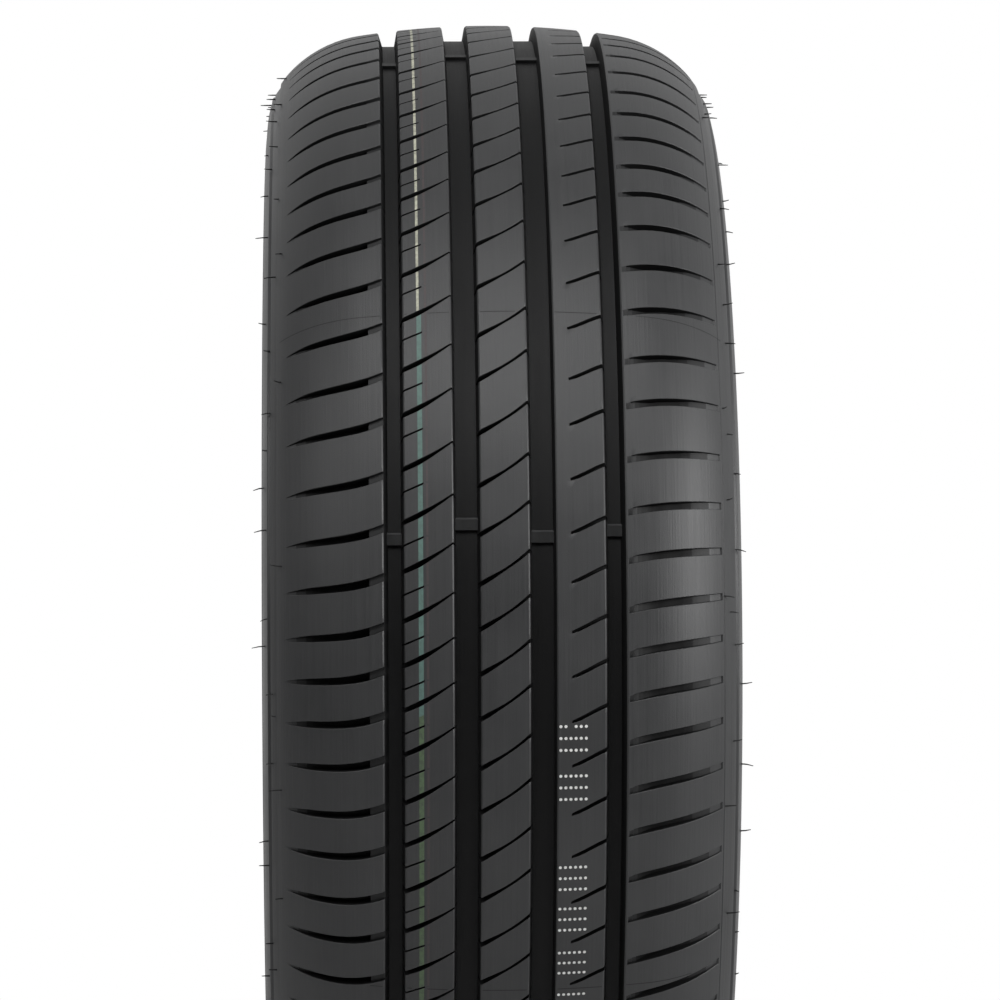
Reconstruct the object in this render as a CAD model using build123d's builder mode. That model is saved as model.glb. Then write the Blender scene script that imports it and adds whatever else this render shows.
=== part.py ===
from build123d import *
import math
import os

os.makedirs("parts", exist_ok=True)

# Main sizes, in millimetres: a 225/45 tyre for a 17 inch rim, 7.5 inches wide
section_width = 225.0
aspect_ratio = 0.45
seat_diameter = 436.6
rim_width = 190.5

# Outer contour, from the crown to the rim protector
crown_radius = 430.0
shoulder_radius = 62.0
shoulder_slope = 45.0
buttress_radius = 42.0
tread_edge_slope = 57.0
tread_ledge = 1.2
sidewall_radius = 130.0
sidewall_turn = 8.5
protector_chamfer = 4.0

# Bead that grips the rim; its seat is a step wider than the rim's nominal diameter
rim_step = 4.8
seat_length = 9.5
heel_radius = 7.0
bead_base_width = 18.5
toe_lip = 2.5
toe_wall_height = 19.0
toe_wall_lean = 6.0
flange_height = 14.7
flange_flare = 3.0

# Inner liner
crown_thickness = 17.0
sidewall_thickness = 9.0
liner_shoulder_radius = 36.0
liner_bead_radius = 18.0
liner_bead_turn = 60.0

# Grooves round the tread: place of the centre and width at the tread surface
inner_groove_offset = 17.5
inner_groove_width = 12.3
outer_groove_offset = 51.2
outer_groove_width = 9.5
groove_depth = 7.6
groove_wall_draft = 1.8

# Wear bars across the groove floors
wear_bar_count = 6
wear_bar_height = 1.6
wear_bar_length = 6.0
wear_bar_angle = 9.2

# Pitches round the tread, going down its front: their order, their lengths' ratio and the one at the bottom
front_pitches = "XLMMMSMLLXMXLMMSSSMSMSMS"
pitch_order = front_pitches + "MSXMLMSMXMLSM" + front_pitches + "MLSMMSMLMSMXMSLMSMMSMLMSM"
pitch_ratio = {"S": 9.0, "M": 10.0, "L": 11.0, "X": 11.6}
bottom_pitch = 37

# Cross slots of the two shoulder ribs; a rise is a place along the tread, up from the pitch's start
slot_width = 4.0
slot_depth = 5.5
slot_slope = 8.4
slot_run_out = 102.0
left_slot_rise = 1.0
right_slot_rise = 16.6
right_slot_land = 2.0

# Sipes of the three inner ribs: narrow cuts with walls that meet at the bottom
sipe_depth = 5.5
left_sipe_width = 1.8
left_sipe_slope = 30.0
left_sipe_rise = 13.6
centre_sipe_width = 1.8
centre_sipe_slope = 33.5
centre_sipe_rise = 31.6
right_sipe_length = 15.5
right_sipe_width = 1.6
right_sipe_slope = 26.0
right_sipe_rise = 6.9

# Facets for the arcs of the contour, and how far a cutter reaches past the rubber
heel_facets = 1
liner_facets = 3
overlap = 3.0

# Places worked out from the sizes: across the tread and out from the axle
rim_diameter = seat_diameter - rim_step
outer_radius = rim_diameter / 2 + section_width * aspect_ratio
half_width = section_width / 2
seat_radius = seat_diameter / 2
toe_radius = seat_radius - toe_lip
slope_sine = math.sin(math.radians(shoulder_slope))
shoulder_reach = buttress_radius * (1 - slope_sine) + shoulder_radius * slope_sine
crown_half = (half_width - shoulder_reach) / (1 - shoulder_radius / crown_radius)
crown_angle = math.degrees(math.asin(crown_half / crown_radius))
liner_half = half_width - sidewall_thickness
liner_radius = outer_radius - crown_thickness
bead_half = rim_width / 2
toe_half = bead_half - bead_base_width
centre_rib_edge = inner_groove_offset - inner_groove_width / 2
middle_rib_start = inner_groove_offset + inner_groove_width / 2
middle_rib_end = outer_groove_offset - outer_groove_width / 2
middle_rib_centre = (middle_rib_start + middle_rib_end) / 2
shoulder_rib_start = outer_groove_offset + outer_groove_width / 2
grooves = ((inner_groove_offset, inner_groove_width), (outer_groove_offset, outer_groove_width))
pitch_total = sum(pitch_ratio[size] for size in pitch_order)
first_pitch_angle = 360 * sum(pitch_ratio[size] for size in pitch_order[:bottom_pitch]) / pitch_total - 90
longest_pitch = 2 * math.pi * outer_radius * max(pitch_ratio.values()) / pitch_total
cutter_top = outer_radius + overlap
blank_radius = outer_radius + overlap / 2

# Contour of one half of the section, as arcs that touch each other
crown = JernArc((0, outer_radius), (1, 0), crown_radius, -crown_angle)
shoulder = JernArc(crown @ 1, crown % 1, shoulder_radius, crown_angle - shoulder_slope)
tread_edge = JernArc(shoulder @ 1, shoulder % 1, buttress_radius, shoulder_slope - tread_edge_slope)
buttress = JernArc(tread_edge @ 1, tread_edge % 1, buttress_radius, tread_edge_slope - 90)
sidewall = JernArc(buttress @ 1, buttress % 1, sidewall_radius, -sidewall_turn)
heel = JernArc((bead_half, seat_radius + heel_radius), (0, -1), heel_radius, -90)
liner_edge = (liner_half - liner_shoulder_radius, liner_radius)
liner_shoulder = JernArc(liner_edge, (1, 0), liner_shoulder_radius, -90)
liner_bead = JernArc(liner_shoulder @ 1, liner_shoulder % 1, liner_bead_radius, -liner_bead_turn)


def facet_points(arc, facets):
    """Points along an arc, from its start to its end, one facet apart."""
    return [arc @ (step / facets) for step in range(facets + 1)]


def tread_radius(across):
    """Distance of the tread surface from the axle at a place across the tread."""
    reach = abs(across)
    if reach <= crown_half:
        return outer_radius - crown_radius + math.sqrt(crown_radius ** 2 - reach ** 2)
    turn = math.radians(crown_angle)
    centre_across = crown_half - shoulder_radius * math.sin(turn)
    centre_out = outer_radius - (crown_radius - shoulder_radius) * (1 - math.cos(turn)) - shoulder_radius
    return centre_out + math.sqrt(shoulder_radius ** 2 - (reach - centre_across) ** 2)


def half_tread_contour(side):
    """Tread outline with its grooves, from the middle to the tread's edge, as (out, across) points."""
    points = []
    for offset, width in grooves:
        floor = tread_radius(offset) - groove_depth
        points.append((tread_radius(offset - width / 2), offset - width / 2))
        points.append((floor, offset - width / 2 + groove_wall_draft))
        points.append((floor, offset + width / 2 - groove_wall_draft))
        points.append((tread_radius(offset + width / 2), offset + width / 2))
    for point in (shoulder @ 0.55, tread_edge @ 1):
        points.append((point.Y, point.X))
    return [(out, side * across) for out, across in points]


def turned(place, rise):
    """A place or direction turned about the axle by a distance up along the tread."""
    turn = rise / outer_radius
    out, across, up = place
    return (out * math.cos(turn) - up * math.sin(turn), across, out * math.sin(turn) + up * math.cos(turn))


def slanted_plane(slope, rise, across):
    """Plane of the cross-section through a slot that climbs at a slope and is at the rise at a place."""
    climb = math.radians(slope)
    return Plane(
        origin=turned((0, 0, -across * math.tan(climb)), rise),
        x_dir=turned((1, 0, 0), rise),
        z_dir=turned((0, -math.sin(climb), math.cos(climb)), rise),
    )


def sipe_plane(slope, across, rise):
    """Plane square to a sipe that climbs at a slope, with its origin at the sipe's bottom."""
    climb = math.radians(slope)
    return Plane(
        origin=turned((tread_radius(across) - sipe_depth, across, 0), rise),
        x_dir=turned((0, -math.sin(climb), math.cos(climb)), rise),
        z_dir=turned((0, math.cos(climb), math.sin(climb)), rise),
    )


def sipe_outline(width):
    """Corners of a sipe's cross-section, up to past the tread surface."""
    half = width / 2 * (sipe_depth + overlap) / sipe_depth
    return [(0, 0), (half, sipe_depth + overlap), (-half, sipe_depth + overlap)]


def pitch_places():
    """Turns about the axle to the pitches, going down the front of the tread."""
    places = []
    passed = 0
    for size in pitch_order:
        places.append(Location((0, 0, 0), (0, 360 * passed / pitch_total - first_pitch_angle, 0)))
        passed += pitch_ratio[size]
    return places


def wear_bar_places():
    """Turns about the axle to the rows of wear bars."""
    step = 360 / wear_bar_count
    return [Location((0, 0, 0), (0, step * row - wear_bar_angle, 0)) for row in range(wear_bar_count)]


# One pitch of the tread, as the cutter that shapes its blocks from the blank ring
slot_centre = (shoulder_rib_start + slot_run_out) / 2
left_sipe_half = (middle_rib_end - middle_rib_start) / 2 + overlap
centre_sipe_half = centre_rib_edge + overlap
right_sipe_half = (right_sipe_length + overlap) / 2
right_sipe_centre = middle_rib_end + overlap - right_sipe_half
left_half = half_tread_contour(-1)
right_half = half_tread_contour(1)
with BuildPart() as block_cutter:
    with BuildSketch(Plane.XY):
        with BuildLine():
            Polyline(
                (cutter_top, left_half[-1][1]),
                *left_half[::-1],
                *right_half,
                (cutter_top, right_half[-1][1]),
                close=True,
            )
        make_face()
    extrude(amount=longest_pitch / 2 + overlap, both=True)
    with BuildSketch(slanted_plane(slot_slope, left_slot_rise, -slot_centre)):
        with BuildLine():
            Polyline(
                (tread_radius(slot_run_out), -slot_run_out),
                (tread_radius(shoulder_rib_start) - slot_depth, -shoulder_rib_start),
                (tread_radius(shoulder_rib_start) - slot_depth, -shoulder_rib_start + overlap),
                (cutter_top, -shoulder_rib_start + overlap),
                (cutter_top, -slot_run_out),
                close=True,
            )
        make_face()
    extrude(amount=slot_width / 2, both=True)
    with BuildSketch(sipe_plane(right_sipe_slope, right_sipe_centre, right_sipe_rise)):
        with BuildLine():
            Polyline(*sipe_outline(right_sipe_width), close=True)
        make_face()
    extrude(amount=right_sipe_half / math.cos(math.radians(right_sipe_slope)), both=True)

# The cuts of the same pitch that lie further up the tread
with BuildPart() as upper_cutter:
    with BuildSketch(slanted_plane(slot_slope, right_slot_rise, slot_centre)):
        with BuildLine():
            Polyline(
                (tread_radius(slot_run_out), slot_run_out),
                (tread_radius(shoulder_rib_start) - slot_depth, shoulder_rib_start + right_slot_land),
                (cutter_top, shoulder_rib_start + right_slot_land),
                (cutter_top, slot_run_out),
                close=True,
            )
        make_face()
    extrude(amount=slot_width / 2, both=True)
    for across, rise, slope, width, half_length in (
        (-middle_rib_centre, left_sipe_rise, left_sipe_slope, left_sipe_width, left_sipe_half),
        (0, centre_sipe_rise, centre_sipe_slope, centre_sipe_width, centre_sipe_half),
    ):
        with BuildSketch(sipe_plane(slope, across, rise)):
            with BuildLine():
                Polyline(*sipe_outline(width), close=True)
            make_face()
        extrude(amount=half_length / math.cos(math.radians(slope)), both=True)

# Wear bars: short blocks on the floors of the four grooves
with BuildPart() as wear_bars:
    for side in (-1, 1):
        for offset, width in grooves:
            floor = tread_radius(offset) - groove_depth
            with Locations((floor + (wear_bar_height - overlap) / 2, side * offset, 0)):
                Box(wear_bar_height + overlap, width - groove_wall_draft, wear_bar_length)

# The tyre: a ring of the section, cut pitch by pitch
edge_out = (tread_edge @ 1).Y
edge_across = (tread_edge @ 1).X
with BuildPart() as tyre:
    with BuildSketch(Plane.YZ):
        with BuildLine():
            Polyline(
                (0, blank_radius),
                (edge_across, blank_radius),
                (edge_across, edge_out - tread_ledge),
                buttress @ 0.5,
                buttress @ 1,
                sidewall @ 1,
                sidewall @ 1 + Vector(-protector_chamfer, -protector_chamfer),
                (bead_half + flange_flare, seat_radius + flange_height),
                *facet_points(heel, heel_facets),
                (bead_half - heel_radius - seat_length, seat_radius),
                (toe_half, toe_radius),
                (toe_half + toe_wall_lean, toe_radius + toe_wall_height),
                liner_bead @ 1,
                *facet_points(liner_shoulder, liner_facets)[::-1],
                (0, liner_radius),
                close=True,
            )
        make_face()
        mirror(about=Plane.YZ)
    revolve(axis=Axis.Y)
    with Locations(*pitch_places()[::2]):
        add(block_cutter.part, mode=Mode.SUBTRACT, clean=False)
    with Locations(*pitch_places()[1::2]):
        add(block_cutter.part, mode=Mode.SUBTRACT, clean=False)
    with Locations(*pitch_places()):
        add(upper_cutter.part, mode=Mode.SUBTRACT, clean=False)
    with Locations(*wear_bar_places()):
        add(wear_bars.part, clean=False)

tyre.part.label = "tyre"
export_step(tyre.part, "parts/tyre.step")
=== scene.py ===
import math

import bpy
import numpy as np
from mathutils import Matrix, Vector


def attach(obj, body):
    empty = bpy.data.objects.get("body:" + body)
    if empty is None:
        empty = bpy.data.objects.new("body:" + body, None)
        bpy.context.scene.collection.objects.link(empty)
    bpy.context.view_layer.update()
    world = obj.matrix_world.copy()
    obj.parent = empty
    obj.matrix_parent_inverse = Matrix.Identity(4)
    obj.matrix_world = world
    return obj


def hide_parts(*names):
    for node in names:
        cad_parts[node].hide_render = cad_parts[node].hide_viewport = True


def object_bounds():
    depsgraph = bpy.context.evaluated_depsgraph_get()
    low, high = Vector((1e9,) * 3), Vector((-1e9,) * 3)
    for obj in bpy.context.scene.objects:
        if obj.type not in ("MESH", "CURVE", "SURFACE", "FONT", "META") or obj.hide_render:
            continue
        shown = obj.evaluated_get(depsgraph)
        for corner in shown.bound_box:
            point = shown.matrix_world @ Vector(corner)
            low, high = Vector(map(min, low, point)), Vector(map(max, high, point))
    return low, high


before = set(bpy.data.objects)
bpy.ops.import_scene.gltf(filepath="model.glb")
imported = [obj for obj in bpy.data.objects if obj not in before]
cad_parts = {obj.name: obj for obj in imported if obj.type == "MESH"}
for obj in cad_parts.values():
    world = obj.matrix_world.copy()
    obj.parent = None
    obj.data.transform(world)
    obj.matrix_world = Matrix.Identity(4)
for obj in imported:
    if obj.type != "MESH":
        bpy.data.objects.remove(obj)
cad_low, cad_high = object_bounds()

# Main sizes in millimetres, as in the part's source
MM = 0.001
OUTER_RADIUS = 317.15
HALF_WIDTH = 112.5
CROWN_RADIUS = 430.0
SHOULDER_RADIUS = 62.0
SHOULDER_SLOPE = math.radians(45)
BUTTRESS_RADIUS = 42.0
SIDEWALL_RADIUS = 130.0
SIDEWALL_TURN = math.radians(8.5)
SEAT_RADIUS = 218.3
SEAT_LENGTH = 9.5
HEEL_RADIUS = 7.0
BEAD_HALF = 95.25
BEAD_BASE = 18.5
TOE_LIP = 2.5
LINER_RADIUS = 300.15
LINER_HALF = 103.5
LINER_SHOULDER = 36.0
LINER_BEAD = 18.0

# Grooves round the tread
INNER_GROOVE = (17.5, 12.3)
OUTER_GROOVE = (51.2, 9.5)
GROOVE_DEPTH = 7.6
GROOVE_DRAFT = 1.3
GROOVE_CHAMFER = 0.65
WEAR_BAR_ANGLES = {-51.2: 8.6, -17.5: 9.8, 17.5: 8.7, 51.2: 9.3}
WEAR_BAR_ROWS = 6
WEAR_BAR_HALF = 3.0
WEAR_BAR_HEIGHT = 1.6
WEAR_BAR_EDGE = 0.9

# Pitches round the tread
FRONT_PITCHES = "XLMMMSMLLXMXLMMSSSMSMSMS"
PITCH_ORDER = FRONT_PITCHES + "MSXMLMSMXMLSM" + FRONT_PITCHES + "MLSMMSMLMSMXMSLMSMMSMLMSM"
PITCH_RATIO = {"S": 9.0, "M": 10.0, "L": 11.0, "X": 11.6}
BOTTOM_PITCH = 37


# Outer contour of one half: across, out from the axle, and the lean of the surface
def contour_table(steps=240):
    sine = math.sin(SHOULDER_SLOPE)
    reach = BUTTRESS_RADIUS * (1 - sine) + SHOULDER_RADIUS * sine
    crown_half = (HALF_WIDTH - reach) / (1 - SHOULDER_RADIUS / CROWN_RADIUS)
    crown_angle = math.asin(crown_half / CROWN_RADIUS)
    arcs = (
        (CROWN_RADIUS, 0.0, crown_angle),
        (SHOULDER_RADIUS, crown_angle, SHOULDER_SLOPE),
        (BUTTRESS_RADIUS, SHOULDER_SLOPE, math.pi / 2),
        (SIDEWALL_RADIUS, math.pi / 2, math.pi / 2 + SIDEWALL_TURN),
    )
    point = np.array([0.0, OUTER_RADIUS])
    across, out, lean = [], [], []
    for radius, start, end in arcs:
        centre = point - radius * np.array([math.sin(start), math.cos(start)])
        angle = np.linspace(start, end, steps)
        across.append(centre[0] + radius * np.sin(angle))
        out.append(centre[1] + radius * np.cos(angle))
        lean.append(angle)
        point = np.array([across[-1][-1], out[-1][-1]])
    return np.concatenate(across), np.concatenate(out), np.concatenate(lean)


CONTOUR_ACROSS, CONTOUR_OUT, CONTOUR_LEAN = contour_table()
WIDEST = int(np.argmax(CONTOUR_ACROSS))


def tread_out(across):
    return np.interp(np.abs(across), CONTOUR_ACROSS[: WIDEST + 1], CONTOUR_OUT[: WIDEST + 1])


def tread_lean(across):
    lean = np.interp(np.abs(across), CONTOUR_ACROSS[: WIDEST + 1], CONTOUR_LEAN[: WIDEST + 1])
    return np.sign(across) * lean


def wrap(across, out, angle):
    """Points in metres from places across the tread, out from the axle and round it."""
    return np.stack([out * np.cos(angle), across + 0 * angle, out * np.sin(angle)], axis=-1) * MM


def grid_piece(name, points, materials, face_material=None, closed=True, flip=False, sharp=32.0):
    """A mesh from rows of points; the last row joins the first where the grid is closed."""
    rows, columns = points.shape[:2]
    index = np.arange(rows * columns).reshape(rows, columns)
    upper = np.roll(index, -1, axis=0) if closed else index[1:]
    lower = index if closed else index[:-1]
    faces = np.stack([lower[:, :-1], lower[:, 1:], upper[:, 1:], upper[:, :-1]], axis=-1).reshape(-1, 4)
    if flip:
        faces = faces[:, ::-1]
    mesh = bpy.data.meshes.new(name)
    mesh.from_pydata(points.reshape(-1, 3).tolist(), [], faces.tolist())
    for material in materials:
        mesh.materials.append(material)
    if face_material is not None:
        mesh.polygons.foreach_set("material_index", face_material.reshape(-1).astype(np.int32))
    return add_piece(name, mesh, sharp)


def add_piece(name, mesh, sharp=32.0):
    """A mesh as a smooth-shaded piece of the tyre, sharp where faces meet at an angle."""
    mesh.polygons.foreach_set("use_smooth", [True] * len(mesh.polygons))
    mesh.set_sharp_from_angle(angle=math.radians(sharp))
    mesh.update()
    piece = bpy.data.objects.new(name, mesh)
    bpy.context.scene.collection.objects.link(piece)
    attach(piece, "root")
    return piece


# Pitch starts, as distances round the crown, from the end of the list up to its first
def pitch_starts():
    passed = np.cumsum([0] + [PITCH_RATIO[size] for size in PITCH_ORDER])
    angles = 360.0 * (passed[BOTTOM_PITCH] - passed) / passed[-1] - 90.0
    return np.radians(angles[::-1]) * OUTER_RADIUS


STARTS = pitch_starts()


def curve(*places):
    """A smooth line through places given as across and along the tread, level past its ends."""
    across, along = zip(*places)
    fitted = np.polynomial.Polynomial.fit(across, along, min(len(places) - 1, 3))
    return lambda where: fitted(np.clip(where, across[0] - 1.5, across[-1] + 1.5))


def steps(*places):
    """A line of straight stretches through places given as across and value."""
    across, value = zip(*places)
    return lambda where: np.interp(where, across, value)


class Cut:
    """A family of slots or sipes: its line along the tread, half width, depth and edge chamfer."""

    def __init__(self, line, half, depth, upper_depth=None, chamfer=0.3):
        self.line = line
        self.half = half
        self.depth = depth
        self.upper_depth = upper_depth or depth
        self.chamfer = chamfer


# Materials of a rib in their order; the painted ones are on the second rib alone
# SHADED, MID_SHADE and LIGHT_SHADE are darker rubbers that paint in the shade of cuts and grooves
TOP, SHADED, MID_SHADE, LIGHT_SHADE = 0, 1, 2, 3
PALE, TEAL, GREEN, TINT = 4, 5, 6, 7


def tread_rib(name, columns, wall, cuts, block_rows, materials, painted=(), lean=0.0):
    """A rib of the tread as a grid that follows its grooves' walls and its cuts."""
    rows, depths, kinds = [], [], []
    for start, above in zip(STARTS[:-1], STARTS[1:]):
        for number, cut in enumerate(cuts):
            middle = start + cut.line(columns)
            half = cut.half(columns)
            low = cut.depth(columns)
            high = cut.upper_depth(columns)
            soft = cut.chamfer * np.clip(low / 0.6, 0.15, 1)
            lip = 0.7 * cut.chamfer * np.clip(low / 0.6, 0, 1)
            upper_lip = 0.7 * cut.chamfer * np.clip(high / 0.6, 0, 1)
            for shift, depth, kind in (
                (-half - soft, 0 * low, "edge"),
                (-half, np.minimum(lip, low), "wall"),
                (-0.88 * half, low, "floor"),
                (0.88 * half, high, "wall"),
                (half, np.minimum(upper_lip, high), "edge"),
                (half + soft, 0 * low, "block"),
            ):
                rows.append(middle + shift)
                depths.append(depth)
                kinds.append(kind)
            last = number + 1 == len(cuts)
            following = cuts[0] if last else cuts[number + 1]
            base = above if last else start
            begin = rows[-1]
            next_soft = following.chamfer * np.clip(following.depth(columns) / 0.6, 0.15, 1)
            finish = base + following.line(columns) - following.half(columns) - next_soft
            for step in range(1, block_rows + 1):
                rows.append(begin + (finish - begin) * step / (block_rows + 1))
                depths.append(0 * begin)
                kinds.append("block")
    along = np.array(rows)
    cut_depth = np.array(depths)
    depth = np.maximum(cut_depth, wall[None, :])
    turn = lean * tread_lean(columns)
    out = tread_out(columns)[None, :] - depth * np.cos(turn)
    across = columns[None, :] - depth * np.sin(turn)
    points = wrap(across, out, along / OUTER_RADIUS)
    kinds = np.array(kinds)
    face_material = np.full((len(rows), len(columns) - 1), TOP, np.int32)
    angle = (np.degrees(along.mean(axis=1) / OUTER_RADIUS) + 180) % 360 - 180
    middle = (columns[:-1] + columns[1:]) / 2
    for first, final, choose in painted:
        chosen = (middle > first) & (middle < final)
        face_material[np.ix_(kinds == "block", chosen)] = choose(angle[kinds == "block"])[:, None]
    deepest = np.maximum(cut_depth, np.roll(cut_depth, -1, axis=0))
    deepest = np.maximum(deepest[:, :-1], deepest[:, 1:])
    # Deeper floors and walls of cuts take darker rubber: painted shade in the recesses
    for least, choice in ((1.1, LIGHT_SHADE), (2.2, MID_SHADE), (3.2, SHADED)):
        face_material[(kinds == "floor")[:, None] & (deepest > least)] = choice
    for least, choice in ((0.6, LIGHT_SHADE), (1.0, MID_SHADE), (1.5, SHADED)):
        face_material[(kinds == "wall")[:, None] & (deepest > least)] = choice
    # Groove walls facing left take the darkest rubber and those facing right a lighter one: painted shade,
    # one side darker for how the light falls
    face_material[:, np.diff(wall) < -2.0] = SHADED
    face_material[:, np.diff(wall) > 2.0] = MID_SHADE
    return grid_piece(name, points, materials, face_material)


def edge_columns(edge, side):
    """Columns and depths down a groove's wall, from a rib's edge; side is where the groove lies."""
    places = [edge - side * GROOVE_CHAMFER, edge, edge + side * GROOVE_DRAFT]
    return places, [0.0, 0.8 * GROOVE_CHAMFER, GROOVE_DEPTH + 0.4]


def rib_columns(left_edge, right_edge, inner):
    """Columns and wall depths of a rib between two grooves."""
    left, left_depth = edge_columns(left_edge, -1)
    right, right_depth = edge_columns(right_edge, 1)
    columns = np.array(left[::-1] + list(inner) + right)
    wall = np.array(left_depth[::-1] + [0.0] * len(inner) + right_depth)
    return columns, wall


# Materials
def node_material(name):
    material = bpy.data.materials.new(name)
    material.use_nodes = True
    shader = material.node_tree.nodes["Principled BSDF"]
    return material, material.node_tree.nodes, material.node_tree.links, shader


def math_node(nodes, links, operation, first, second=None):
    node = nodes.new("ShaderNodeMath")
    node.operation = operation
    for socket, value in zip(node.inputs, (first, second)):
        if value is None:
            continue
        if isinstance(value, (int, float)):
            socket.default_value = value
        else:
            links.new(value, socket)
    return node.outputs[0]


def round_coordinates(nodes, links):
    """Across, out and round the axle, for patterns that follow the tyre's turn."""
    place = nodes.new("ShaderNodeTexCoord").outputs["Object"]
    split = nodes.new("ShaderNodeSeparateXYZ")
    links.new(place, split.inputs[0])
    across = split.outputs["Y"]
    angle = math_node(nodes, links, "ARCTAN2", split.outputs["Z"], split.outputs["X"])
    squares = math_node(nodes, links, "ADD",
                        math_node(nodes, links, "MULTIPLY", split.outputs["X"], split.outputs["X"]),
                        math_node(nodes, links, "MULTIPLY", split.outputs["Z"], split.outputs["Z"]))
    out = math_node(nodes, links, "SQRT", squares)
    return place, across, out, angle


def noise(nodes, links, vector, scale, detail=3.0, roughness=0.55):
    node = nodes.new("ShaderNodeTexNoise")
    node.inputs["Scale"].default_value = scale
    node.inputs["Detail"].default_value = detail
    node.inputs["Roughness"].default_value = roughness
    links.new(vector, node.inputs["Vector"])
    return node.outputs["Fac"]


def combine(nodes, links, x, y, z):
    node = nodes.new("ShaderNodeCombineXYZ")
    for socket, value in zip(node.inputs, (x, y, z)):
        if isinstance(value, (int, float)):
            socket.default_value = value
        else:
            links.new(value, socket)
    return node.outputs[0]


def map_range(nodes, links, value, low, high, to_low, to_high):
    node = nodes.new("ShaderNodeMapRange")
    links.new(value, node.inputs["Value"])
    for key, number in (("From Min", low), ("From Max", high), ("To Min", to_low), ("To Max", to_high)):
        node.inputs[key].default_value = number
    return node.outputs["Result"]


def mix_colour(nodes, links, factor, first, second):
    node = nodes.new("ShaderNodeMix")
    node.data_type = "RGBA"
    if isinstance(factor, (int, float)):
        node.inputs["Factor"].default_value = factor
    else:
        links.new(factor, node.inputs["Factor"])
    for key, value in ((6, first), (7, second)):
        if isinstance(value, tuple):
            node.inputs[key].default_value = (*value, 1)
        else:
            links.new(value, node.inputs[key])
    return node.outputs[2]


def rubber(name, dark, pale, rough, streak, grain, shine=0.45):
    """Satin black rubber with fine moulded grain, streaks round the tyre and a faint bloom."""
    material, nodes, links, shader = node_material(name)
    place, across, out, angle = round_coordinates(nodes, links)
    cloud = noise(nodes, links, place, 22.0, 4.0)
    lines = combine(nodes, links,
                    math_node(nodes, links, "MULTIPLY", across, 900.0),
                    math_node(nodes, links, "MULTIPLY", out, 900.0),
                    math_node(nodes, links, "MULTIPLY", angle, 6.0))
    streaks = noise(nodes, links, lines, 1.0, 2.0)
    fine = noise(nodes, links, place, 2600.0, 2.0)
    mixed = math_node(nodes, links, "ADD",
                      math_node(nodes, links, "MULTIPLY", cloud, 0.6),
                      math_node(nodes, links, "MULTIPLY", streaks, 0.4))
    links.new(mix_colour(nodes, links, map_range(nodes, links, mixed, 0.3, 0.7, 0, 1), dark, pale),
              shader.inputs["Base Color"])
    roughness = map_range(nodes, links, mixed, 0.3, 0.7, rough - 0.05, rough + 0.05)
    links.new(roughness, shader.inputs["Roughness"])
    height = math_node(nodes, links, "ADD",
                       math_node(nodes, links, "MULTIPLY", streaks, streak),
                       math_node(nodes, links, "MULTIPLY", fine, grain))
    bump = nodes.new("ShaderNodeBump")
    bump.inputs["Strength"].default_value = 0.5
    bump.inputs["Distance"].default_value = 0.0002
    links.new(height, bump.inputs["Height"])
    links.new(bump.outputs[0], shader.inputs["Normal"])
    shader.inputs["Specular IOR Level"].default_value = shine
    return material


def paint(name, colour, cover):
    """A thin sprayed line on the rubber, worn through in places."""
    material, nodes, links, shader = node_material(name)
    place, across, out, angle = round_coordinates(nodes, links)
    wear = noise(nodes, links, place, 420.0, 4.0, 0.65)
    factor = map_range(nodes, links, wear, 0.35, 0.62, cover, 1.0)
    links.new(mix_colour(nodes, links, factor, (0.034, 0.035, 0.036), colour), shader.inputs["Base Color"])
    shader.inputs["Roughness"].default_value = 0.62
    return material


# Rubber of grooves and cuts is darker, as painted shade for the shade that they lie in, in deep, mid and
# light steps; the light step also draws the mould seams
tread_rubber = rubber("tread_rubber", (0.024, 0.0245, 0.0255), (0.036, 0.0365, 0.0375), 0.50, 0.8, 0.5)
mid_shade_rubber = rubber("mid_shade_rubber", (0.006, 0.0061, 0.0063), (0.009, 0.0091, 0.0094), 0.6, 0.6, 0.5, 0.22)
shaded_rubber = rubber("shaded_rubber", (0.004, 0.0041, 0.0043), (0.007, 0.0071, 0.0073), 0.62, 0.4, 0.4, 0.2)
seam_and_light_shade_rubber = rubber("seam_and_light_shade_rubber", (0.012, 0.0122, 0.0126), (0.018, 0.0183, 0.0188), 0.58, 0.6, 0.5, 0.3)
side_rubber = rubber("sidewall_rubber", (0.026, 0.0265, 0.0275), (0.038, 0.0385, 0.0395), 0.46, 0.8, 0.5)
liner_rubber = rubber("liner_rubber", (0.018, 0.0183, 0.019), (0.027, 0.0274, 0.028), 0.38, 0.8, 0.5)
pale_line = paint("line_pale", (0.42, 0.42, 0.33), 0.55)
teal_line = paint("line_teal", (0.085, 0.155, 0.135), 0.7)
green_line = paint("line_green", (0.075, 0.12, 0.06), 0.45)
red_tint = paint("line_red_tint", (0.05, 0.036, 0.037), 0.4)
white_ink = paint("ink_white", (0.72, 0.72, 0.7), 0.8)

# Tread ribs, from the left as photographed
inner_out = INNER_GROOVE[0] + INNER_GROOVE[1] / 2
inner_in = INNER_GROOVE[0] - INNER_GROOVE[1] / 2
outer_out = OUTER_GROOVE[0] + OUTER_GROOVE[1] / 2
outer_in = OUTER_GROOVE[0] - OUTER_GROOVE[1] / 2
TREAD_EDGE = 105.7
EDGE_STEP = 1.6

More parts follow.
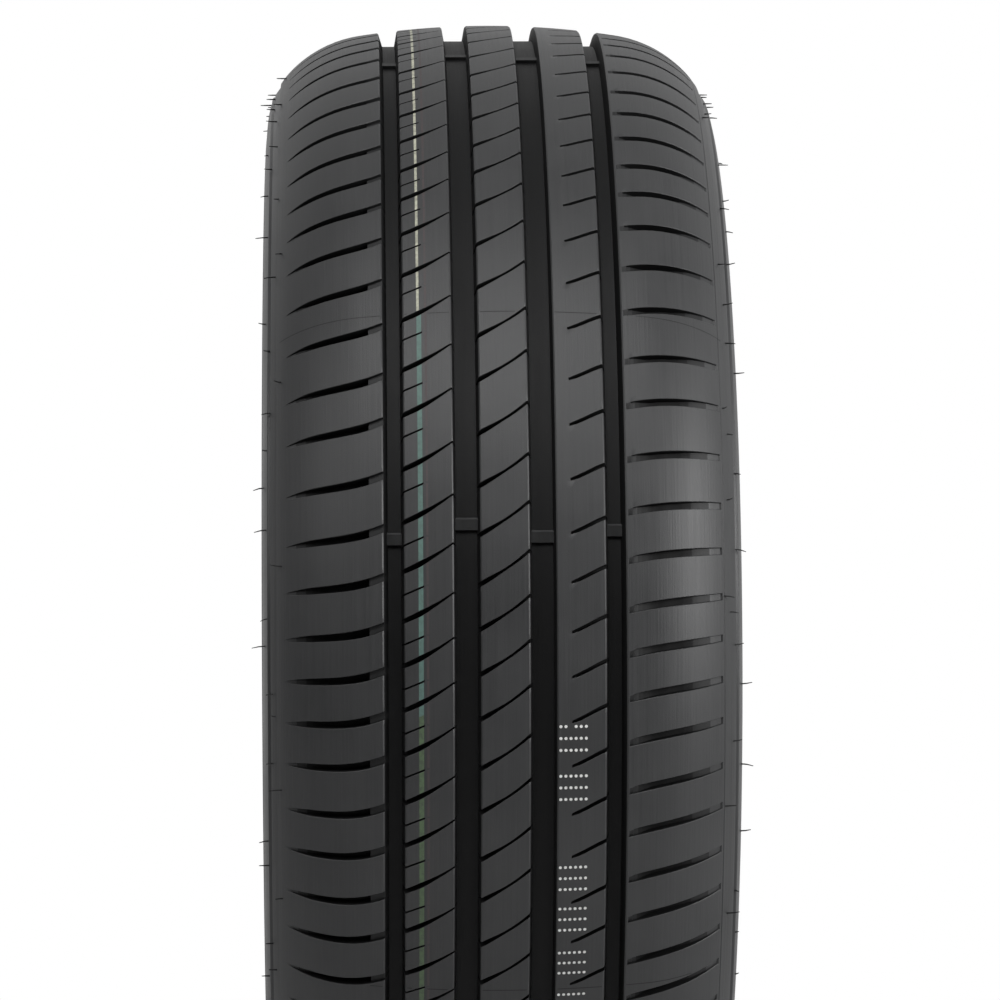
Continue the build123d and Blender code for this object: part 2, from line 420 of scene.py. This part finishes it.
left_slot = Cut(
    line=curve((-99.0, -0.6), (-88.0, 0.0), (-76.0, 0.7), (-65.0, 2.5), (-56.5, 5.3)),
    half=steps((-101, 0.5), (-99, 0.8), (-95, 1.25), (-90.5, 1.6), (-78, 1.8), (-66, 2.0), (-56, 2.0)),
    depth=steps((-101.0, 0.0), (-99.0, 0.7), (-95.0, 1.5), (-90.5, 3.0), (-85.0, 5.0), (-63.3, 5.6),
                (-62.7, 1.6), (-50, 1.6)),
    chamfer=0.22,
)
right_slot = Cut(
    line=curve((57.4, 12.7), (66.0, 14.6), (79.0, 16.6), (90.0, 18.2), (101.0, 20.0)),
    half=steps((57, 1.65), (62, 1.85), (90, 1.85), (101, 1.7)),
    depth=steps((57.0, 0), (57.4, 1.2), (61.5, 1.5), (66.0, 3.6), (69.0, 4.4), (81.0, 3.8), (90.0, 1.7),
                (96.0, 1.0), (101.2, 0.8), (101.6, 0)),
    upper_depth=steps((59.0, 0), (59.6, 1.0), (61.5, 1.5), (66.0, 3.6), (69.0, 4.4), (81.0, 3.8), (90.0, 1.7),
                      (96.0, 1.0), (101.2, 0.8), (101.6, 0)),
    chamfer=0.22,
)
long_sipe = Cut(
    line=curve((-46.3, 8.1), (-42.0, 10.0), (-36.6, 12.7), (-32.0, 15.4), (-25.5, 19.7)),
    half=steps((-46, 1.25), (-40, 1.4), (-36, 1.2), (-31, 0.8), (-27, 0.6), (-24, 0.5)),
    depth=steps((-60, 6.0), (-20, 6.0)),
    chamfer=0.15,
)
short_sipe = Cut(
    line=curve((-46.3, -2.9), (-37.6, 0.8)),
    half=steps((-46, 0.5), (-37.4, 0.42)),
    depth=steps((-60, 4.5), (-37.7, 4.5), (-37.3, 0.0)),
    chamfer=0.1,
)
centre_sipe = Cut(
    line=curve((-10.8, 25.1), (-4.4, 28.8), (2.6, 33.3), (9.5, 38.7)),
    half=steps((-11, 1.3), (-8, 1.3), (-4, 0.95), (0, 0.7), (5, 0.75), (10.5, 0.95)),
    depth=steps((-20, 6.0), (20, 6.0)),
    chamfer=0.15,
)
tip_sipe = Cut(
    line=curve((30.8, 2.5), (35.0, 4.2), (41.0, 7.3), (46.0, 9.7)),
    half=steps((30, 0.6), (34, 0.95), (46, 1.05)),
    depth=steps((30.4, 0.0), (31.0, 4.5), (60, 5.5)),
    chamfer=0.12,
)

left_columns = [-TREAD_EDGE - 0.05, -TREAD_EDGE, -104.4, -103, -101, -99, -97, -95, -93, -90.5, -88, -85,
                -82, -78, -74, -70, -66.5, -63.3, -62.7, -60.5, -58.5]
right_edge, right_wall = edge_columns(-outer_out, 1)
columns = np.array(left_columns + right_edge)
wall = np.array([EDGE_STEP] + [0.0] * (len(left_columns) - 1) + right_wall)
rib_materials = [tread_rubber, shaded_rubber, mid_shade_rubber, seam_and_light_shade_rubber]
rib_1 = tread_rib("tread_rib_1", columns, wall, [left_slot], 6, rib_materials, lean=1.0)

inner = [-43.8, -41.8, -39.9, -38.7, -37.7, -37.3, -36.2, -35.2, -31, -28, -26]
columns, wall = rib_columns(-outer_in, -inner_out, inner)


# The painted line changes colour on its way down the front, and is narrow where it is pale
PALE_ABOVE = 29.4
GREEN_BELOW = -6.5


def line_colour(angle):
    return np.where(angle > PALE_ABOVE, PALE, np.where(angle > GREEN_BELOW, TEAL, GREEN))


def wide_line_colour(angle):
    return np.where(angle > PALE_ABOVE, TOP, np.where(angle > GREEN_BELOW, TEAL, GREEN))


def tint_colour(angle):
    return np.full(angle.shape, TINT)


rib_2 = tread_rib("tread_rib_2", columns, wall, [short_sipe, long_sipe], 3,
                  rib_materials + [pale_line, teal_line, green_line, red_tint],
                  painted=[(-39.9, -38.7, line_colour), (-38.7, -37.7, wide_line_colour),
                           (-36.2, -35.2, tint_colour)])

columns, wall = rib_columns(-inner_in, inner_in, [-8.5, -6, -3, 0, 3, 6, 8.5])
rib_3 = tread_rib("tread_rib_3", columns, wall, [centre_sipe], 6, rib_materials)

columns, wall = rib_columns(inner_out, outer_in, [26, 28.5, 30.4, 31.0, 34, 37, 40, 43])
rib_4 = tread_rib("tread_rib_4", columns, wall, [tip_sipe], 6, rib_materials)

left_edge, left_wall = edge_columns(outer_out, -1)
right_columns = [57.0, 57.4, 59.0, 59.6, 61.5, 63.6, 66, 69, 73, 77, 81, 84, 86, 88, 90, 92.5, 96.0, 98.5,
                 101.2, 101.6, 102.2, 102.5, 102.8, TREAD_EDGE, TREAD_EDGE + 0.05]
columns = np.array(left_edge[::-1] + right_columns)
right_wall = [0.3 if place == 102.5 else 0.0 for place in right_columns[:-1]] + [EDGE_STEP]
wall = np.array(left_wall[::-1] + right_wall)
rib_5 = tread_rib("tread_rib_5", columns, wall, [right_slot], 6, rib_materials, lean=1.0)
ribs = [rib_1, rib_2, rib_3, rib_4, rib_5]


# Groove floors with wear bars
def groove_floor(name, offset, width):
    reach = width / 2 - 0.3
    columns = np.array([offset - reach, offset - reach / 2, offset, offset + reach / 2, offset + reach])
    plain = np.radians(np.arange(0, 360, 1.0))
    bar_half = WEAR_BAR_HALF / (OUTER_RADIUS - GROOVE_DEPTH)
    slope = 0.35 / (OUTER_RADIUS - GROOVE_DEPTH)
    centres = np.radians(WEAR_BAR_ANGLES[offset] + np.arange(WEAR_BAR_ROWS) * 360.0 / WEAR_BAR_ROWS)
    rows = [(angle % (2 * math.pi), 0.0) for angle in plain
            if np.min(np.abs((angle - centres + math.pi) % (2 * math.pi) - math.pi)) > 2 * bar_half]
    for centre in centres:
        for shift, height in (
            (-bar_half, 0.0),
            (-bar_half + 0.1 * slope, WEAR_BAR_HEIGHT),
            (0, WEAR_BAR_HEIGHT),
            (bar_half - 2.6 * slope, WEAR_BAR_HEIGHT),
            (bar_half, WEAR_BAR_EDGE),
            (bar_half + 0.1 * slope, 0.0),
        ):
            rows.append(((centre + shift) % (2 * math.pi), height))
    rows.sort()
    angle = np.array([row[0] for row in rows])[:, None]
    height = np.array([row[1] for row in rows])[:, None]
    out = np.full((1, len(columns)), float(tread_out(np.array(offset))) - GROOVE_DEPTH) + height
    points = wrap(columns[None, :] + 0 * angle, out, angle)
    # The groove floor takes the mid-shade rubber and the wear bar's top the light-shade rubber, as painted
    # shade in the groove; the bar's sloped upper edge keeps the plain tread rubber
    lowest = np.minimum(height, np.roll(height, -1, axis=0))
    choice = np.where(lowest > WEAR_BAR_EDGE, 1, np.where(lowest > 0, 2, 0))
    face_material = np.repeat(choice, len(columns) - 1, axis=1)
    return grid_piece(name, points, [mid_shade_rubber, seam_and_light_shade_rubber, tread_rubber], face_material)


groove_widths = dict([INNER_GROOVE, OUTER_GROOVE])
floors = [groove_floor(f"groove_floor_{number}", offset, groove_widths[abs(offset)])
          for number, offset in enumerate(sorted(WEAR_BAR_ANGLES), 1)]


# Sidewalls, from under the tread's edge round the bead to its toe. Their fine rings are given by
# distance from the axle, height and width
SIDE_RINGS = [(281.3, -0.9, 0.9), (279.9, 0.35, 1.0), (262.0, 0.45, 1.1), (259.2, 0.45, 1.1)]
SIDE_SEGMENTS = 360


def arc_points(centre, radius, start, end, count):
    angle = np.radians(np.linspace(start, end, count))
    return [(centre[0] + radius * math.sin(a), centre[1] + radius * math.cos(a)) for a in angle]


def ridge(points, leans, place, height, width):
    """Raises a fine ring on the sidewall where its contour reaches a distance from the axle."""
    rise = height * np.clip(1.5 - np.abs(points[:, 1] - place) / (width / 2), 0, 1)
    return points + rise[:, None] * np.stack([np.sin(leans), np.cos(leans)], axis=1)


def sidewall_profile():
    begin = int(np.searchsorted(CONTOUR_ACROSS[: WIDEST + 1], TREAD_EDGE))
    pieces = np.hypot(np.diff(CONTOUR_ACROSS[begin:]), np.diff(CONTOUR_OUT[begin:]))
    length = np.concatenate([[0], np.cumsum(pieces)])
    where = np.arange(0, length[-1], 0.45)
    across = np.interp(where, length, CONTOUR_ACROSS[begin:])
    out = np.interp(where, length, CONTOUR_OUT[begin:])
    lean = np.interp(where, length, CONTOUR_LEAN[begin:])
    points = np.stack([across, out], axis=1)
    sunk = np.interp(where, (0, 8), (EDGE_STEP - 0.4, 0))
    points -= sunk[:, None] * np.stack([np.sin(lean), np.cos(lean)], axis=1)
    for place, height, width in SIDE_RINGS:
        points = ridge(points, lean, place, height, width)
    end = (CONTOUR_ACROSS[-1], CONTOUR_OUT[-1])
    seat_end = BEAD_HALF - HEEL_RADIUS - SEAT_LENGTH
    tail = [
        (end[0] - 0.3, end[1] - 1.2), (end[0] - 1.4, end[1] - 2.6), (end[0] - 3.6, end[1] - 4.0),
        (end[0] - 6.0, end[1] - 6.2),
        (BEAD_HALF + 5.2, SEAT_RADIUS + 18.6), (BEAD_HALF + 3.6, SEAT_RADIUS + 16.4),
        (BEAD_HALF + 2.2, SEAT_RADIUS + 13.6), (BEAD_HALF + 0.8, SEAT_RADIUS + 10.2),
    ]
    tail += arc_points((BEAD_HALF - HEEL_RADIUS, SEAT_RADIUS + HEEL_RADIUS), HEEL_RADIUS, 90, 180, 9)
    toe = (BEAD_HALF - BEAD_BASE, SEAT_RADIUS - TOE_LIP)
    tail += [(seat_end, SEAT_RADIUS), (toe[0] + 0.8, toe[1] + 0.1), (toe[0] + 0.1, toe[1] + 0.7)]
    return np.concatenate([points, np.array(tail)])


def lathe(name, profile, side, material):
    angle = np.linspace(0, 2 * math.pi, SIDE_SEGMENTS, endpoint=False)[:, None]
    points = wrap(side * profile[None, :, 0] + 0 * angle, profile[None, :, 1] + 0 * angle, angle)
    return grid_piece(name, points, [material], flip=side < 0, sharp=40.0)


profile = sidewall_profile()
sidewalls = [
    lathe("sidewall_left", profile, -1, side_rubber),
    lathe("sidewall_right", profile, 1, side_rubber),
]


# Inner liner, from toe to toe
def liner_profile():
    toe = (BEAD_HALF - BEAD_BASE + 0.1, SEAT_RADIUS - TOE_LIP + 0.7)
    half = [(toe[0], toe[1]), (toe[0] + 2.6, toe[1] + 7.0), (toe[0] + 6.0, toe[1] + 14.3)]
    shoulder = (LINER_HALF - LINER_SHOULDER, LINER_RADIUS - LINER_SHOULDER)
    bead = (LINER_HALF - LINER_BEAD, LINER_RADIUS - LINER_SHOULDER)
    half += arc_points(bead, LINER_BEAD, 150, 90, 9)[:-1]
    half += arc_points(shoulder, LINER_SHOULDER, 90, 0, 18)
    half += [(shoulder[0] * part, LINER_RADIUS) for part in (0.75, 0.5, 0.25)]
    half = np.array(half)
    middle = np.array([[0.0, LINER_RADIUS]])
    return np.concatenate([half, middle, half[::-1] * np.array([-1, 1])])


liner = lathe("inner_liner", liner_profile(), 1, liner_rubber)


# Vent hairs left by the mould along both sidewalls
def vent_hairs(count=200):
    chance = np.random.default_rng(5)
    points, faces = [], []
    for number in range(count):
        side = -1 if number % 2 else 1
        angle = math.radians(360.0 * (number + chance.uniform(0, 1.6)) / count)
        out = chance.uniform(272, 292)
        across = float(np.interp(out, CONTOUR_OUT[WIDEST::-1], CONTOUR_ACROSS[WIDEST::-1])) - 0.4
        length = chance.uniform(2.0, 6.5)
        bend = chance.uniform(-1.2, 1.2)
        base = len(points)
        for step, thick in ((0.0, 0.42), (0.5, 0.36), (1.0, 0.22)):
            for turn in (0, 120, 240):
                points.append((side * (across + length * step),
                               out + thick * math.sin(math.radians(turn)),
                               angle + (thick * math.cos(math.radians(turn)) + bend * step * step) / out))
        for ring in (base, base + 3):
            for one, two in ((0, 1), (1, 2), (2, 0)):
                faces.append((ring + one, ring + two, ring + 3 + two, ring + 3 + one))
        faces.append((base + 6, base + 7, base + 8))
    places = np.array(points)
    mesh = bpy.data.meshes.new("vent_hairs")
    mesh.from_pydata(wrap(places[:, 0], places[:, 1], places[:, 2]).tolist(), [], faces)
    # The hairs take the mid-shade rubber, darker than the tread rubber: painted shade
    mesh.materials.append(mid_shade_rubber)
    return add_piece("vent_hairs", mesh)


hairs = vent_hairs()


# Stock marks in white ink on the fourth rib: plain dotted bars, clear of the sipes
INK_ANGLES = (-8.4, -12.6, -20.6, -24.4, -28.6, -32.8)
INK_START = 25.2
DOT_STEP = 2.35
DOT_RADIUS = 0.75
DOT_CLEARANCE = 2.4
SIPE_TIP = 29.0


def ink_dots():
    points, faces = [], []
    for block in INK_ANGLES:
        for bar in (-1, 0, 1):
            for column in range(6):
                across = INK_START + DOT_STEP * column
                along = math.radians(block + bar) * OUTER_RADIUS
                gap = np.min(np.abs(along - STARTS - tip_sipe.line(across)))
                if gap < DOT_CLEARANCE and across > SIPE_TIP:
                    continue
                base = len(points)
                for turn in np.radians(range(0, 360, 45)):
                    round_place = (along + DOT_RADIUS * math.sin(turn)) / OUTER_RADIUS
                    points.append((across + DOT_RADIUS * math.cos(turn), round_place))
                faces.append(list(range(base, base + 8)))
    places = np.array(points)
    mesh = bpy.data.meshes.new("ink_dots")
    mesh.from_pydata(wrap(places[:, 0], tread_out(places[:, 0]) + 0.05, places[:, 1]).tolist(), [], faces)
    mesh.materials.append(white_ink)
    return add_piece("ink_dots", mesh)


dots = ink_dots()


# Fine seams where the mould's segments meet, broken at each cut
FIRST_SEAM = 28.8
SEAM_COUNT = 6
HALF_SEAM = 0.2
SEAM_CLEARANCE = 1.0


def mould_seams():
    spans = [
        (-104, -outer_out - 1, [left_slot]), (-outer_in + 1, -inner_out - 1, [short_sipe, long_sipe]),
        (-inner_in + 1, inner_in - 1, [centre_sipe]), (inner_out + 1, outer_in - 1, [tip_sipe]),
        (outer_out + 1, 104, [right_slot]),
    ]
    points, faces = [], []
    for joint in range(SEAM_COUNT):
        along = math.radians(FIRST_SEAM - 360 / SEAM_COUNT * joint) * OUTER_RADIUS
        for first, last, cuts in spans:
            edges = np.linspace(first, last, int(last - first) + 1)
            for left, right in zip(edges[:-1], edges[1:]):
                middle = (left + right) / 2
                gaps = [np.min(np.abs(along - STARTS - cut.line(middle))) - cut.half(middle) for cut in cuts]
                if min(gaps) < SEAM_CLEARANCE:
                    continue
                base = len(points)
                for across, shift in ((left, -1), (right, -1), (right, 1), (left, 1)):
                    points.append((across, (along + shift * HALF_SEAM) / OUTER_RADIUS))
                faces.append(list(range(base, base + 4)))
    places = np.array(points)
    mesh = bpy.data.meshes.new("mould_seams")
    mesh.from_pydata(wrap(places[:, 0], tread_out(places[:, 0]) + 0.04, places[:, 1]).tolist(), [], faces)
    mesh.materials.append(seam_and_light_shade_rubber)
    return add_piece("mould_seams", mesh)


seams = mould_seams()

for piece in ribs + floors + sidewalls + [liner, hairs, dots, seams]:
    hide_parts("tyre")

# Camera at the photograph's angle
IMAGE = 1000.0
FOCAL = 5213.0
YAW = math.radians(1.61)
PITCH = math.radians(1.52)
ROLL = math.radians(-0.30)
CAMERA_PLACE = Vector((2.710, -0.0696, 0.0))
camera_data = bpy.data.cameras.new("camera")
camera_data.sensor_width = 36.0
camera_data.lens = FOCAL / IMAGE * 36.0
camera = bpy.data.objects.new("camera", camera_data)
bpy.context.scene.collection.objects.link(camera)
bpy.context.scene.camera = camera
ahead = Vector((-math.cos(PITCH) * math.cos(YAW), math.cos(PITCH) * math.sin(YAW), math.sin(PITCH)))
level = ahead.cross(Vector((0, 0, 1))).normalized()
above = level.cross(ahead)
right = math.cos(ROLL) * level + math.sin(ROLL) * above
up = -math.sin(ROLL) * level + math.cos(ROLL) * above
camera.matrix_world = Matrix((
    (right.x, up.x, -ahead.x, CAMERA_PLACE.x),
    (right.y, up.y, -ahead.y, CAMERA_PLACE.y),
    (right.z, up.z, -ahead.z, CAMERA_PLACE.z),
    (0, 0, 0, 1),
))

# Floor: a pale disc that fades out towards its rim
FLOOR_RADIUS = 1.72
floor_mesh = bpy.data.meshes.new("floor")
turn = np.linspace(0, 2 * math.pi, 96, endpoint=False)
rim = [(FLOOR_RADIUS * math.cos(a), FLOOR_RADIUS * math.sin(a), 0) for a in turn]
floor_mesh.from_pydata(rim, [], [list(range(len(rim)))])
floor = bpy.data.objects.new("floor", floor_mesh)
floor.location = (0, 0, cad_low.z - 0.0005)
bpy.context.scene.collection.objects.link(floor)
material, nodes, links, shader = node_material("floor_pale")
shader.inputs["Base Color"].default_value = (0.62, 0.62, 0.62, 1)
shader.inputs["Roughness"].default_value = 0.7
place = nodes.new("ShaderNodeTexCoord").outputs["Object"]
distance = nodes.new("ShaderNodeVectorMath")
distance.operation = "LENGTH"
links.new(place, distance.inputs[0])
fade = map_range(nodes, links, distance.outputs["Value"], 0.7, FLOOR_RADIUS, 1.0, 0.0)
links.new(fade, shader.inputs["Alpha"])
floor_mesh.materials.append(material)

# Studio light
world = bpy.data.worlds.new("studio")
bpy.context.scene.world = world
world.use_nodes = True
nodes, links = world.node_tree.nodes, world.node_tree.links
nodes.clear()
output = nodes.new("ShaderNodeOutputWorld")
seen = nodes.new("ShaderNodeBackground")
seen.inputs["Color"].default_value = (1, 1, 1, 1)
lit = nodes.new("ShaderNodeBackground")
mixer = nodes.new("ShaderNodeMixShader")
path = nodes.new("ShaderNodeLightPath")
links.new(path.outputs["Is Camera Ray"], mixer.inputs[0])
links.new(lit.outputs[0], mixer.inputs[1])
links.new(seen.outputs[0], mixer.inputs[2])
links.new(mixer.outputs[0], output.inputs[0])
direction = nodes.new("ShaderNodeTexCoord").outputs["Generated"]
split = nodes.new("ShaderNodeSeparateXYZ")
links.new(direction, split.inputs[0])
behind = map_range(nodes, links, split.outputs["X"], 0.1, -0.6, 0.04, 0.85)
lit.inputs["Color"].default_value = (1, 1, 1, 1)
links.new(behind, lit.inputs["Strength"])


def area_light(name, place, target, size, power, spread=180.0):
    data = bpy.data.lights.new(name, "AREA")
    data.shape = "RECTANGLE"
    data.size, data.size_y = size
    data.energy = power
    data.spread = math.radians(spread)
    light = bpy.data.objects.new(name, data)
    light.location = place
    light.rotation_euler = (Vector(target) - Vector(place)).to_track_quat("-Z", "Y").to_euler()
    bpy.context.scene.collection.objects.link(light)
    return light


area_light("overhead", (1.7, 0.0, 2.0), (0.1, 0, 0.2), (1.6, 1.2), 9.0, spread=80.0)
area_light("right_box", (1.12, 1.95, 0.55), (0.15, 0.1, 0.1), (1.0, 0.8), 9.0, spread=80.0)
area_light("left_box", (1.5, -1.8, 1.2), (0.15, -0.1, 0.15), (1.1, 1.0), 3.0, spread=80.0)

view = bpy.context.scene.view_settings
view.view_transform = "Standard"
